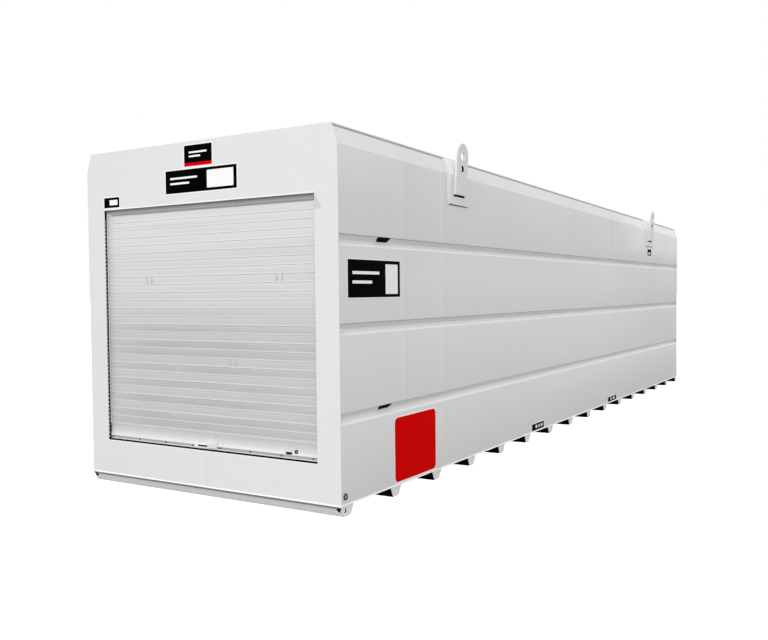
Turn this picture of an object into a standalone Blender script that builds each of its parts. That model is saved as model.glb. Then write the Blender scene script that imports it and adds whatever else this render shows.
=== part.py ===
"""Long box-shaped storage tank with a double steel skin, a shuttered cabinet end and cross bearers.

Metres, +Z up. The origin is at the bottom centre, on the surface that the bearers stand on.
The shuttered end faces -Y, and the roof falls from it towards +Y.
"""
import math

import bmesh
import bpy
from mathutils import Matrix, Vector

# Overall sizes
LENGTH = 12.19
WIDTH = 3.05
BEARER_HEIGHT = 0.095
PANEL_HEIGHT = 3.187
ROOF_FALL = 0.1725
CHAMFER_WIDTH = 0.059
CHAMFER_HEIGHT = 0.179
ROOF_EDGE_DROP = 0.015
SHEET = 0.006
GAP = 0.0003

# Pressed grooves along the walls, heights above the panels' bottom edge
GROOVE_HEIGHTS = (0.724, 1.474, 2.223)
GROOVE_OPENING = 0.097
GROOVE_DEPTH = 0.045
BOTTOM_RETURN = 0.05

# Cabinet opening and shutter
OPENING_HALF_WIDTH = 1.285
OPENING_BOTTOM = 0.336
OPENING_TOP = 2.62
CORNER_RETURN = 0.045
HEADER_RETURN = 0.030
SLAT_PITCH = 0.077
SLAT_BOW = 0.009
SLAT_THICKNESS = 0.002
CURTAIN_SETBACK = 0.054
CURTAIN_REACH = 0.045
CURTAIN_ABOVE = 0.02
GUIDE_DEPTH = 0.069
GUIDE_REACH = 0.060
GUIDE_CLEAR = 0.004
GUIDE_BELOW = 0.045
GUIDE_THICKNESS = 0.0025
BOTTOM_BAR_HEIGHT = 0.165
BOTTOM_BAR_SETBACK = 0.040
BOTTOM_BAR_THICKNESS = 0.022
HEAD_SEAL_BELOW = 0.037
HEAD_SEAL_ABOVE = 0.02
HEAD_SEAL_THICKNESS = 0.004
LOCK_X = 1.034
LOCK_HEIGHT = 0.411
LOCK_RADIUS = 0.018
LOCK_DEPTH = 0.006
LATCH_LOW = (0.016, 0.358)
LATCH_HIGH = (0.130, 0.452)
LATCH_DEPTH = 0.018

# Vent slots in the upper slope of the top and bottom grooves
VENT_START = 0.645
VENT_LENGTH = 0.19
VENT_GROOVES = (0, 2)

# Bearers
BEARER_COUNT = 16
BEARER_TOP_WIDTH = 0.19
BEARER_BOTTOM_WIDTH = 0.10
BEARER_SHEET = 0.005
BEARER_END_INSET = 0.004

# Lifting lugs, heights below the roof edge beside them
LUG_FROM_END = 2.21
LUG_WIDTH = 0.25
LUG_THICKNESS = 0.022
LUG_ABOVE_ROOF = 0.157
LUG_BELOW_ROOF = 0.376
LUG_LEAN = math.radians(3.5)
LUG_EYE_RADIUS = 0.045
LUG_EYE_ABOVE_ROOF = 0.024
LUG_PIN_HOLE_RADIUS = 0.033
LUG_PIN_HOLE_BELOW_ROOF = 0.106
PAD_WIDTH = 0.43
PAD_THICKNESS = 0.012
PAD_BELOW_ROOF = 0.481
PAD_SLOT_HEIGHT = 0.020
LUG_SEGMENTS = 24

# Drain plugs
PLUG_FROM_FRONT = 0.059
PLUG_HEIGHT = 0.076
PLUG_RADIUS = 0.029
PLUG_DEPTH = 0.008

FRONT = -LENGTH / 2
REAR = LENGTH / 2
HALF = WIDTH / 2
BASE = BEARER_HEIGHT
ROOF_HALF = HALF - CHAMFER_WIDTH
BEARER_PITCH = (LENGTH - BEARER_TOP_WIDTH) / (BEARER_COUNT - 1)

PAINT = (0.86, 0.86, 0.85)
STEEL = (0.70, 0.71, 0.72)
DARK = (0.03, 0.03, 0.035)


def roof_z(y):
    """Height of the roof's edge at the place y along the tank."""
    return BASE + PANEL_HEIGHT - ROOF_FALL * (y - FRONT) / LENGTH


def fold_z(y):
    """Height of the fold where the wall leans in."""
    return roof_z(y) - CHAMFER_HEIGHT


def clear_scene():
    for item in list(bpy.data.objects):
        bpy.data.objects.remove(item, do_unlink=True)


def make_collection(name):
    collection = bpy.data.collections.new(name)
    bpy.context.scene.collection.children.link(collection)
    return collection


def make_material(name, color, roughness, metallic):
    material = bpy.data.materials.new(name)
    material.use_nodes = True
    shader = material.node_tree.nodes["Principled BSDF"]
    shader.inputs["Base Color"].default_value = (*color, 1.0)
    shader.inputs["Roughness"].default_value = roughness
    shader.inputs["Metallic"].default_value = metallic
    return material


def add_object(name, bm, material, collection):
    """Make an object from a bmesh and free the bmesh."""
    mesh = bpy.data.meshes.new(name)
    bm.to_mesh(mesh)
    bm.free()
    if material is not None:
        mesh.materials.append(material)
    item = bpy.data.objects.new(name, mesh)
    collection.objects.link(item)
    return item


def swept_strip(near_points, far_points):
    """Open strip of faces between two matching lines of points, one for each end of a sweep."""
    bm = bmesh.new()
    near = [bm.verts.new(point) for point in near_points]
    far = [bm.verts.new(point) for point in far_points]
    for index in range(len(near) - 1):
        bm.faces.new((near[index], far[index], far[index + 1], near[index + 1]))
    return bm


def solid_between(near_points, far_points):
    """Closed solid between two matching closed outlines."""
    bm = bmesh.new()
    near = [bm.verts.new(point) for point in near_points]
    far = [bm.verts.new(point) for point in far_points]
    count = len(near)
    bm.faces.new(near)
    bm.faces.new(list(reversed(far)))
    for index in range(count):
        after = (index + 1) % count
        bm.faces.new((near[index], far[index], far[after], near[after]))
    bmesh.ops.recalc_face_normals(bm, faces=bm.faces)
    return bm


def box_mesh(low, high):
    """Closed box between two corners."""
    low = Vector(low)
    high = Vector(high)
    bm = bmesh.new()
    bmesh.ops.create_cube(bm, size=1.0)
    bmesh.ops.scale(bm, vec=high - low, verts=bm.verts)
    bmesh.ops.translate(bm, vec=(low + high) / 2, verts=bm.verts)
    return bm


def disc_mesh(radius, depth, segments, matrix):
    """Closed cylinder, its axis along the matrix's local Z."""
    bm = bmesh.new()
    bmesh.ops.create_cone(bm, cap_ends=True, segments=segments, radius1=radius, radius2=radius,
                          depth=depth, matrix=matrix)
    return bm


def thicken(item, thickness):
    """Give a sheet its thickness, behind its outer face."""
    modifier = item.modifiers.new("thickness", "SOLIDIFY")
    modifier.thickness = thickness
    modifier.offset = -1.0
    modifier.use_even_offset = True


def cut(item, cutter):
    """Cut one object with another, which stays as a guide."""
    modifier = item.modifiers.new("cut", "BOOLEAN")
    modifier.operation = "DIFFERENCE"
    modifier.solver = "EXACT"
    modifier.object = cutter
    cutter.hide_render = True
    cutter.display_type = "WIRE"


def mirror_x(bm):
    """Turn a right-hand shape into its left-hand twin."""
    bmesh.ops.scale(bm, vec=(-1, 1, 1), verts=bm.verts)
    bmesh.ops.reverse_faces(bm, faces=bm.faces)


def hand(side):
    return "right" if side > 0 else "left"


def grooved_profile(top):
    """Places across and heights of a wall with pressed grooves: 0 is the outer face."""
    points = [(-BOTTOM_RETURN, BASE), (0.0, BASE)]
    for height in GROOVE_HEIGHTS:
        centre = BASE + height
        points.append((0.0, centre - GROOVE_OPENING / 2))
        points.append((-GROOVE_DEPTH, centre))
        points.append((0.0, centre + GROOVE_OPENING / 2))
    points.extend(top)
    return points


def make_side_wall(side, paint, parts, cutters):
    """Grooved wall with the leaning strip under the roof, cut by two vent slots."""
    ends = (FRONT + SHEET + GAP, REAR - SHEET - GAP)
    lines = []
    for y in ends:
        top = [(0.0, fold_z(y)), (-CHAMFER_WIDTH, roof_z(y) - ROOF_EDGE_DROP - GAP)]
        lines.append([(HALF + across, y, z) for across, z in grooved_profile(top)])
    bm = swept_strip(*lines)
    if side < 0:
        mirror_x(bm)
    wall = add_object("side_wall_" + hand(side), bm, paint, parts)
    thicken(wall, SHEET)
    for groove in VENT_GROOVES:
        centre = BASE + GROOVE_HEIGHTS[groove]
        start = FRONT + VENT_START
        inner = HALF - 2 * GROOVE_DEPTH
        outer = HALF - SHEET / 2
        low = (inner, start, centre + SHEET)
        high = (outer, start + VENT_LENGTH, centre + GROOVE_DEPTH)
        cutter_mesh = box_mesh(low, high)
        if side < 0:
            mirror_x(cutter_mesh)
        cutter = add_object("vent_cutter_{}_{}".format(hand(side), groove), cutter_mesh, None, cutters)
        cut(wall, cutter)


def make_roof(paint, parts):
    """Flat roof sheet with its edges turned down along both sides."""
    lines = []
    for y in (FRONT + SHEET + GAP, REAR - SHEET - GAP):
        top = roof_z(y)
        lines.append([
            (ROOF_HALF, y, top - ROOF_EDGE_DROP),
            (ROOF_HALF, y, top),
            (-ROOF_HALF, y, top),
            (-ROOF_HALF, y, top - ROOF_EDGE_DROP),
        ])
    roof = add_object("roof_panel", swept_strip(*lines), paint, parts)
    thicken(roof, SHEET)


def make_floor(paint, parts):
    edge = HALF - BOTTOM_RETURN - GAP
    end = BOTTOM_RETURN + SHEET + GAP
    bm = box_mesh((-edge, FRONT + end, BASE), (edge, REAR - end, BASE + SHEET))
    add_object("floor_plate", bm, paint, parts)


def make_corner(name, side, y_face, inward, return_depth, paint, parts):
    """Corner panel of one end, chamfered at its top outer corner.

    A return depth above zero turns its inner edge back, up to the fold.
    """
    bm = bmesh.new()
    rows = []
    for z, outer_x in ((BASE, HALF), (fold_z(y_face), HALF), (roof_z(y_face), ROOF_HALF)):
        rows.append([bm.verts.new((x, y_face, z)) for x in (OPENING_HALF_WIDTH, outer_x)])
    for lower, upper in zip(rows, rows[1:]):
        bm.faces.new((lower[0], lower[1], upper[1], upper[0]))
    if return_depth > 0.0:
        y_return = y_face + inward * return_depth
        edge = [bm.verts.new((OPENING_HALF_WIDTH, y_return, row[0].co.z)) for row in rows[:2]]
        bm.faces.new((edge[0], rows[0][0], rows[1][0], edge[1]))
    if side < 0:
        mirror_x(bm)
    if inward < 0:
        bmesh.ops.reverse_faces(bm, faces=bm.faces)
    corner = add_object(name + hand(side), bm, paint, parts)
    thicken(corner, SHEET)


def make_front_panels(paint, parts):
    """Header over the opening and sill under it, with their edges turned back.

    The shutter's bottom bar rests on the sill's upper edge.
    """
    half = OPENING_HALF_WIDTH - GAP
    soffit = BASE + OPENING_TOP
    sill_top = BASE + OPENING_BOTTOM
    header = [(HEADER_RETURN, soffit), (0.0, soffit), (0.0, roof_z(FRONT))]
    sill_depth = BOTTOM_BAR_SETBACK + 1.5 * BOTTOM_BAR_THICKNESS
    sill = [(BOTTOM_RETURN, BASE), (0.0, BASE), (0.0, sill_top), (sill_depth, sill_top)]
    for name, profile in (("front_header", header), ("front_sill", sill)):
        lines = [[(x, FRONT + depth, z) for depth, z in profile] for x in (-half, half)]
        item = add_object(name, swept_strip(*lines), paint, parts)
        thicken(item, SHEET)


def make_rear_panel(paint, parts):
    """Grooved panel between the rear corners."""
    half = OPENING_HALF_WIDTH - GAP
    profile = grooved_profile([(0.0, roof_z(REAR))])
    lines = [[(x, REAR + across, z) for across, z in profile] for x in (half, -half)]
    panel = add_object("rear_panel", swept_strip(*lines), paint, parts)
    thicken(panel, SHEET)


def make_curtain(steel, parts):
    """Shutter curtain of bowed slats, closed, with its edges inside the guides."""
    bottom = BASE + OPENING_BOTTOM + BOTTOM_BAR_HEIGHT + 2 * GAP
    top = BASE + OPENING_TOP + CURTAIN_ABOVE
    count = round((top - bottom) / SLAT_PITCH)
    pitch = (top - bottom) / count
    back = FRONT + CURTAIN_SETBACK
    profile = []
    for slat in range(count):
        z = bottom + slat * pitch
        profile.append((back, z))
        profile.append((back - SLAT_BOW * 0.8, z + 0.25 * pitch))
        profile.append((back - SLAT_BOW, z + 0.55 * pitch))
        profile.append((back - SLAT_BOW * 0.7, z + 0.85 * pitch))
    profile.append((back, top))
    half = OPENING_HALF_WIDTH + CURTAIN_REACH
    lines = [[(x, y, z) for y, z in profile] for x in (-half, half)]
    curtain = add_object("shutter_curtain", swept_strip(*lines), steel, parts)
    thicken(curtain, SLAT_THICKNESS)


def make_guides(steel, parts):
    """Channels that the curtain's edges run in, on the backs of the corner panels."""
    near = FRONT + SHEET + GAP
    inner = OPENING_HALF_WIDTH + GUIDE_CLEAR
    outer = OPENING_HALF_WIDTH + GUIDE_REACH
    bottom = BASE + OPENING_BOTTOM - GUIDE_BELOW
    top = BASE + OPENING_TOP + CURTAIN_ABOVE
    channel = [(inner, near), (outer, near), (outer, near + GUIDE_DEPTH), (inner, near + GUIDE_DEPTH)]
    for side in (-1, 1):
        lines = [[(x, y, z) for x, y in channel] for z in (top, bottom)]
        bm = swept_strip(*lines)
        if side < 0:
            mirror_x(bm)
        guide = add_object("shutter_guide_" + hand(side), bm, steel, parts)
        thicken(guide, GUIDE_THICKNESS)


def make_shutter_fittings(steel, dark, parts):
    """Bottom bar, head seal, lock and latch of the shutter."""
    half = OPENING_HALF_WIDTH + CURTAIN_REACH
    sill_top = BASE + OPENING_BOTTOM
    near = FRONT + BOTTOM_BAR_SETBACK
    bar_low = (-half, near, sill_top + GAP)
    bar_high = (half, near + BOTTOM_BAR_THICKNESS, sill_top + BOTTOM_BAR_HEIGHT)
    add_object("shutter_bottom_bar", box_mesh(bar_low, bar_high), steel, parts)

    soffit = BASE + OPENING_TOP
    seal_half = OPENING_HALF_WIDTH - 3 * GAP
    seal_near = FRONT + HEADER_RETURN + GAP
    seal_low = (-seal_half, seal_near, soffit - HEAD_SEAL_BELOW)
    seal_high = (seal_half, seal_near + HEAD_SEAL_THICKNESS, soffit + HEAD_SEAL_ABOVE)
    add_object("shutter_head_seal", box_mesh(seal_low, seal_high), dark, parts)

    lock_place = Vector((LOCK_X, near - GAP - LOCK_DEPTH / 2, BASE + LOCK_HEIGHT))
    turned = Matrix.Rotation(math.radians(90), 4, "X")
    lock = disc_mesh(LOCK_RADIUS, LOCK_DEPTH, LUG_SEGMENTS, Matrix.Translation(lock_place) @ turned)
    add_object("shutter_lock", lock, dark, parts)

    latch_low = (LATCH_LOW[0], near - GAP - LATCH_DEPTH, BASE + LATCH_LOW[1])
    latch_high = (LATCH_HIGH[0], near - GAP, BASE + LATCH_HIGH[1])
    add_object("shutter_latch", box_mesh(latch_low, latch_high), steel, parts)


def bearer_bar(centre, inset, top):
    """Bar of trapezoid section across the tank, smaller all round by the inset, up to the height top."""
    slope = (BEARER_TOP_WIDTH - BEARER_BOTTOM_WIDTH) / 2 / BEARER_HEIGHT
    half_length = HALF - BEARER_END_INSET - inset
    side_inset = inset * math.hypot(1.0, slope)
    lower = BEARER_BOTTOM_WIDTH / 2 + inset * slope - side_inset
    upper = BEARER_BOTTOM_WIDTH / 2 + top * slope - side_inset
    section = ((-lower, inset), (lower, inset), (upper, top), (-upper, top))
    lines = [[(x, centre + across, z) for across, z in section] for x in (-half_length, half_length)]
    return solid_between(*lines)


def make_bearer(index, paint, parts, cutters):
    """Cross bearer: a trough with sloping webs and closed ends, open only towards the floor plate."""
    centre = FRONT + BEARER_TOP_WIDTH / 2 + index * BEARER_PITCH
    number = "{:02d}".format(index + 1)
    bearer = add_object("bearer_" + number, bearer_bar(centre, 0.0, BEARER_HEIGHT - GAP), paint, parts)
    hollow = bearer_bar(centre, BEARER_SHEET, BEARER_HEIGHT + SHEET)
    cut(bearer, add_object("hollow_cutter_" + number, hollow, None, cutters))


def pad_outline(y):
    """Section of a lug pad at the place y: on the wall, round the fold and up to the roof's edge."""
    wall = HALF + GAP
    roof = roof_z(y)
    fold = fold_z(y)
    top = roof - ROOF_EDGE_DROP
    bottom = roof - PAD_BELOW_ROOF
    seat = roof - LUG_BELOW_ROOF
    packer = (fold - seat) * math.tan(LUG_LEAN)
    return [
        (wall, bottom),
        (wall + PAD_THICKNESS, bottom),
        (wall + PAD_THICKNESS, seat),
        (wall + PAD_THICKNESS + packer, fold),
        (wall + PAD_THICKNESS - CHAMFER_WIDTH, top),
        (wall - CHAMFER_WIDTH, top),
        (wall, fold + GAP),
    ]


def make_pad(side, y, place, paint, parts, cutters):
    """Doubler plate under a lug, thickened behind it, with a slot below the lug's foot."""
    near = y - PAD_WIDTH / 2
    far = y + PAD_WIDTH / 2
    lines = [[(x, end, z) for x, z in pad_outline(end)] for end in (near, far)]
    bm = solid_between(*lines)
    if side < 0:
        mirror_x(bm)
    pad = add_object("lug_pad_{}_{}".format(place, hand(side)), bm, paint, parts)
    slot_top = roof_z(y) - LUG_BELOW_ROOF - GAP
    low = (HALF - PAD_THICKNESS, y - LUG_WIDTH / 2, slot_top - PAD_SLOT_HEIGHT)
    high = (HALF + 2 * PAD_THICKNESS, y + LUG_WIDTH / 2, slot_top)
    slot = box_mesh(low, high)
    if side < 0:
        mirror_x(slot)
    cut(pad, add_object("slot_cutter_{}_{}".format(place, hand(side)), slot, None, cutters))


def lug_outline():
    """Outline of a lug in its own plane, heights from its foot: straight sides and a round top."""
    radius = LUG_WIDTH / 2
    straight = LUG_ABOVE_ROOF + LUG_BELOW_ROOF - radius
    points = [(-radius, 0.0), (radius, 0.0)]
    for step in range(LUG_SEGMENTS // 2 + 1):
        angle = math.pi * step / (LUG_SEGMENTS // 2)
        points.append((radius * math.cos(angle), straight + radius * math.sin(angle)))
    return points


def make_lug(side, y, place, paint, parts, cutters):
    """Lifting plate on its pad, leaning out a little, with an eye above and a pin hole below."""
    foot = Vector((HALF + PAD_THICKNESS + 2 * GAP, y, roof_z(y) - LUG_BELOW_ROOF))
    lean = Matrix.Translation(foot) @ Matrix.Rotation(LUG_LEAN, 4, "Y")
    inner = [lean @ Vector((0.0, across, up)) for across, up in lug_outline()]
    outer = [lean @ Vector((LUG_THICKNESS, across, up)) for across, up in lug_outline()]
    bm = solid_between(inner, outer)
    if side < 0:
        mirror_x(bm)
    lug = add_object("lifting_lug_{}_{}".format(place, hand(side)), bm, paint, parts)
    holes = (
        ("eye", LUG_EYE_RADIUS, LUG_BELOW_ROOF + LUG_EYE_ABOVE_ROOF),
        ("pin_hole", LUG_PIN_HOLE_RADIUS, LUG_BELOW_ROOF - LUG_PIN_HOLE_BELOW_ROOF),
    )
    across = Matrix.Rotation(math.radians(90), 4, "Y")
    for label, radius, up in holes:
        place_in_lug = Matrix.Translation((LUG_THICKNESS / 2, 0.0, up))
        hole = disc_mesh(radius, 3 * LUG_THICKNESS, LUG_SEGMENTS, lean @ place_in_lug @ across)
        if side < 0:
            mirror_x(hole)
        name = "{}_cutter_{}_{}".format(label, place, hand(side))
        cut(lug, add_object(name, hole, None, cutters))


def make_plug(side, dark, parts):
    """Round drain plug low on the wall beside the front corner."""
    place = Vector((side * (HALF + GAP + PLUG_DEPTH / 2), FRONT + PLUG_FROM_FRONT, BASE + PLUG_HEIGHT))
    turned = Matrix.Rotation(math.radians(90), 4, "Y")
    plug = disc_mesh(PLUG_RADIUS, PLUG_DEPTH, LUG_SEGMENTS, Matrix.Translation(place) @ turned)
    item = add_object("drain_plug_" + hand(side), plug, dark, parts)
    item.data.shade_smooth()
    item.data.set_sharp_from_angle(angle=math.radians(40))


def build():
    clear_scene()
    parts = make_collection("bunded_storage_tank")
    cutters = make_collection("cutters")
    paint = make_material("white_paint", PAINT, 0.35, 0.0)
    steel = make_material("coated_steel", STEEL, 0.45, 0.3)
    dark = make_material("dark_fitting", DARK, 0.5, 0.2)

    for side in (-1, 1):
        make_side_wall(side, paint, parts, cutters)
        make_corner("front_jamb_", side, FRONT, 1, 0.0, paint, parts)
        make_corner("rear_corner_", side, REAR, -1, CORNER_RETURN, paint, parts)
        make_plug(side, dark, parts)
        for place, y in (("front", FRONT + LUG_FROM_END), ("rear", REAR - LUG_FROM_END)):
            make_pad(side, y, place, paint, parts, cutters)
            make_lug(side, y, place, paint, parts, cutters)
    make_roof(paint, parts)
    make_floor(paint, parts)
    make_front_panels(paint, parts)
    make_rear_panel(paint, parts)
    make_curtain(steel, parts)
    make_guides(steel, parts)
    make_shutter_fittings(steel, dark, parts)
    for index in range(BEARER_COUNT):
        make_bearer(index, paint, parts, cutters)


build()
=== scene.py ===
"""Looks of a horizontal bunded storage tank with a shuttered cabinet end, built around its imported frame."""

import math
import random

import bmesh
import bpy
from mathutils import Matrix, Vector, noise


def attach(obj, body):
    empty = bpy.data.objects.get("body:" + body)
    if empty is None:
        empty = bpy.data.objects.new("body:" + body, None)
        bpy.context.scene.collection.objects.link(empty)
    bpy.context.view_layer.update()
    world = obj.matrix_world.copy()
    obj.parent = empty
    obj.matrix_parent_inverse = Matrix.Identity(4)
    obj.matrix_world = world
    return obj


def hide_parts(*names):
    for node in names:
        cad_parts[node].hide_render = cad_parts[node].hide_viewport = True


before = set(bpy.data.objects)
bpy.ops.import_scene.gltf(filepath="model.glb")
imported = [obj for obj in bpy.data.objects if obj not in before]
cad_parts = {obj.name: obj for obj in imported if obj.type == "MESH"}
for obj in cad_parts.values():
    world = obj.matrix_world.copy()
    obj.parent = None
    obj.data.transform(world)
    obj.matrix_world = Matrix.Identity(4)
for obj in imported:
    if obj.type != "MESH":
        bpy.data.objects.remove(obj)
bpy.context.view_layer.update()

# Overall sizes, as in the part: metres, the origin at the bottom centre, the shuttered end facing -Y.
# On pieces with rounded edges, faces over the flat area are shaded flat.
LENGTH = 12.19
WIDTH = 3.05
BASE = 0.095
PANEL_HEIGHT = 3.187
ROOF_FALL = 0.1725
CHAMFER_WIDTH = 0.059
CHAMFER_HEIGHT = 0.179
ROOF_EDGE_DROP = 0.015
SHEET = 0.006
SKIN = SHEET - 0.0005
GAP = 0.0003
FLAT_AREA = 0.0009
FRONT = -LENGTH / 2
REAR = LENGTH / 2
HALF = WIDTH / 2
ROOF_HALF = HALF - CHAMFER_WIDTH
HANDS = {-1: "left", 1: "right"}

# Grooves pressed into the walls, heights above the panels' bottom edge
GROOVE_HEIGHTS = (0.724, 1.474, 2.223)
GROOVE_HALF = 0.0485
GROOVE_DEPTH = 0.045
BOTTOM_RETURN = 0.05
FOLD_RADIUS = 0.006

# A groove's folds from below up: place across the wall, height from the groove's middle, radius.
# The crease under the upper fold is steep, the shoulder at the lower fold is flatter.
GROOVE_FOLDS = (
    (0.0, -GROOVE_HALF, 0.005),
    (-0.012, -GROOVE_HALF + 0.01, 0.004),
    (-GROOVE_DEPTH, 0.003, 0.004),
    (-0.014, GROOVE_HALF - 0.007, 0.003),
    (0.0, GROOVE_HALF, 0.003),
)

# Vent slots in the lowest and the highest groove, distances from the shuttered end
VENT_HEIGHTS = (GROOVE_HEIGHTS[0], GROOVE_HEIGHTS[2])
VENT_START = 0.645
VENT_END = VENT_START + 0.19

# Sheet joints along the side walls, distances from the shuttered end, and how much duller each sheet is
SHEET_JOINTS = (1.08, 1.834, 3.72, 5.55, 6.19, 7.5, 9.34, 10.95)
# The sheets' dullness is partly each sheet's own tone and partly painted shade growing towards the far end
SHEET_TONE_AND_SHADE = (0.0, 0.2, 0.1, 0.06, 0.1, 0.18, 0.32, 0.4, 0.45)
JOINT_HALF = 0.011
JOINT_CREST = 0.004
JOINT_RISE = 0.0009
WALL_STEPS = 80
ROOF_STRIPS = 12
REAR_STRIPS = 24

# Opening and shutter, heights above the panels' bottom edge, depths behind the front
OPENING_HALF = 1.285
OPENING_BOTTOM = 0.336
OPENING_TOP = 2.62
SLAT_PITCH = 0.077
CURTAIN_BACK = 0.054
CURTAIN_HALF = OPENING_HALF + 0.045
BAR_TOP = OPENING_BOTTOM + 0.165
BAR_FRONT = 0.04
BAR_BACK = 0.062
CURTAIN_LOW = BASE + BAR_TOP + 0.0006
CURTAIN_HIGH = BASE + OPENING_TOP + 0.02
SLAT_COUNT = round((CURTAIN_HIGH - CURTAIN_LOW) / SLAT_PITCH)
SLAT_STEP = (CURTAIN_HIGH - CURTAIN_LOW) / SLAT_COUNT
SLAT_METAL = 0.0012
DUSTY_SLATS = (0, 1, 3, 5, 7, 9, 10, 12, 14)

# Outer line of a slat from its flared foot up: share of its height, how far it stands out
SLAT_SHAPE = (
    (0.0, 0.0044), (0.006, 0.0078), (0.02, 0.009), (0.05, 0.0084), (0.095, 0.0068), (0.145, 0.0058),
    (0.2, 0.0056), (0.35, 0.0062), (0.55, 0.0063), (0.75, 0.006), (0.9, 0.0054), (0.965, 0.0046),
    (1.0, 0.0036),
)
SCREW_PLACES = (-1.262, -0.887, -0.53, -0.18, 0.152, 0.517, 0.871, 1.213)
TAB_PLACES = ((-0.722, 1.917), (0.871, 1.921), (0.322, 1.162))
TAB_WIDTH = 0.018
TAB_HEIGHT = 0.068
TAB_SPACE = 0.044

# Fittings on the bottom bar: places across and heights above the panels' bottom edge
LOCK_PLACE = (1.034, 0.411)
LOCK_SLOT = ((0.927, 0.385), (0.991, 0.405))
RIVET_PLACES = ((1.146, 0.413), (1.221, 0.413))
LATCH_SPAN = (0.016, 0.13)
LATCH_PLATE = ((-0.15, 0.356), (0.0155, 0.388))
LATCH_SLOT = ((-0.104, 0.368), (0.01, 0.383))

# Front: how far its returns reach back, and the sill's butt joint, from and to across
HEADER_RETURN = 0.03
SILL_RETURN = 0.073
SILL_JOINT = (0.018, 0.023)

# Bearers and lugs
BEARER_COUNT = 16
BEARER_TOP = 0.19
BEARER_BOTTOM = 0.1
BEARER_PITCH = (LENGTH - BEARER_TOP) / (BEARER_COUNT - 1)
BEARER_SLOPE = (BEARER_TOP - BEARER_BOTTOM) / 2 / BASE
LUG_FROM_END = 2.21
LUG_PLACES = {"front": FRONT + LUG_FROM_END, "rear": REAR - LUG_FROM_END}
LUG_WIDTH = 0.25
LUG_THICKNESS = 0.022
LUG_BELOW_ROOF = 0.376
LUG_LEAN = math.radians(3.5)
PAD_WIDTH = 0.43
PAD_THICKNESS = 0.012
PAD_BELOW_ROOF = 0.481
PIN_HOLE_BELOW_ROOF = 0.106
BUSH_INNER = 0.0301
BUSH_OUTER = 0.0327

# Small fittings: a plug's distance from the shuttered end and height above the panels' bottom edge,
# and the height of a lashing hole with the radii of its ring and the ring's wire
PLUG_PLACE = (0.059, 0.076)
LASHING_HEIGHT = 0.064
LASHING_RING = 0.016
LASHING_WIRE = 0.0042

# Signs
FILM = 0.0006
FILM_GAP = 0.0002
PATCH_FILM = 0.0008
KEYLINE = 0.01

# Studio
CAMERA_PLACE = (5.4926, -11.8663, 1.8712)
CAMERA_YAW = math.radians(31.4902)
CAMERA_PITCH = math.radians(1.8395)
CAMERA_ROLL = math.radians(-0.5931)
CAMERA_LENS = 39.82
SUN_STRENGTH = 1.07
SUN_FROM = Vector((0.035, -0.33, 0.17))
SUN_ANGLE = math.radians(10)
FLOOR_SEEN = 0.9
FLOOR_BOUNCE = 0.35

random.seed(7)


def up(height):
    """World height of a place given above the panels' bottom edge."""
    return BASE + height


def along(distance):
    """World Y of a place given from the shuttered end."""
    return FRONT + distance


def roof_z(y):
    """World height of the roof at a world Y."""
    return BASE + PANEL_HEIGHT - ROOF_FALL * (y - FRONT) / LENGTH


def fold_z(y):
    """World height of the fold between a wall and its sloped shoulder."""
    return roof_z(y) - CHAMFER_HEIGHT


# Materials

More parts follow.
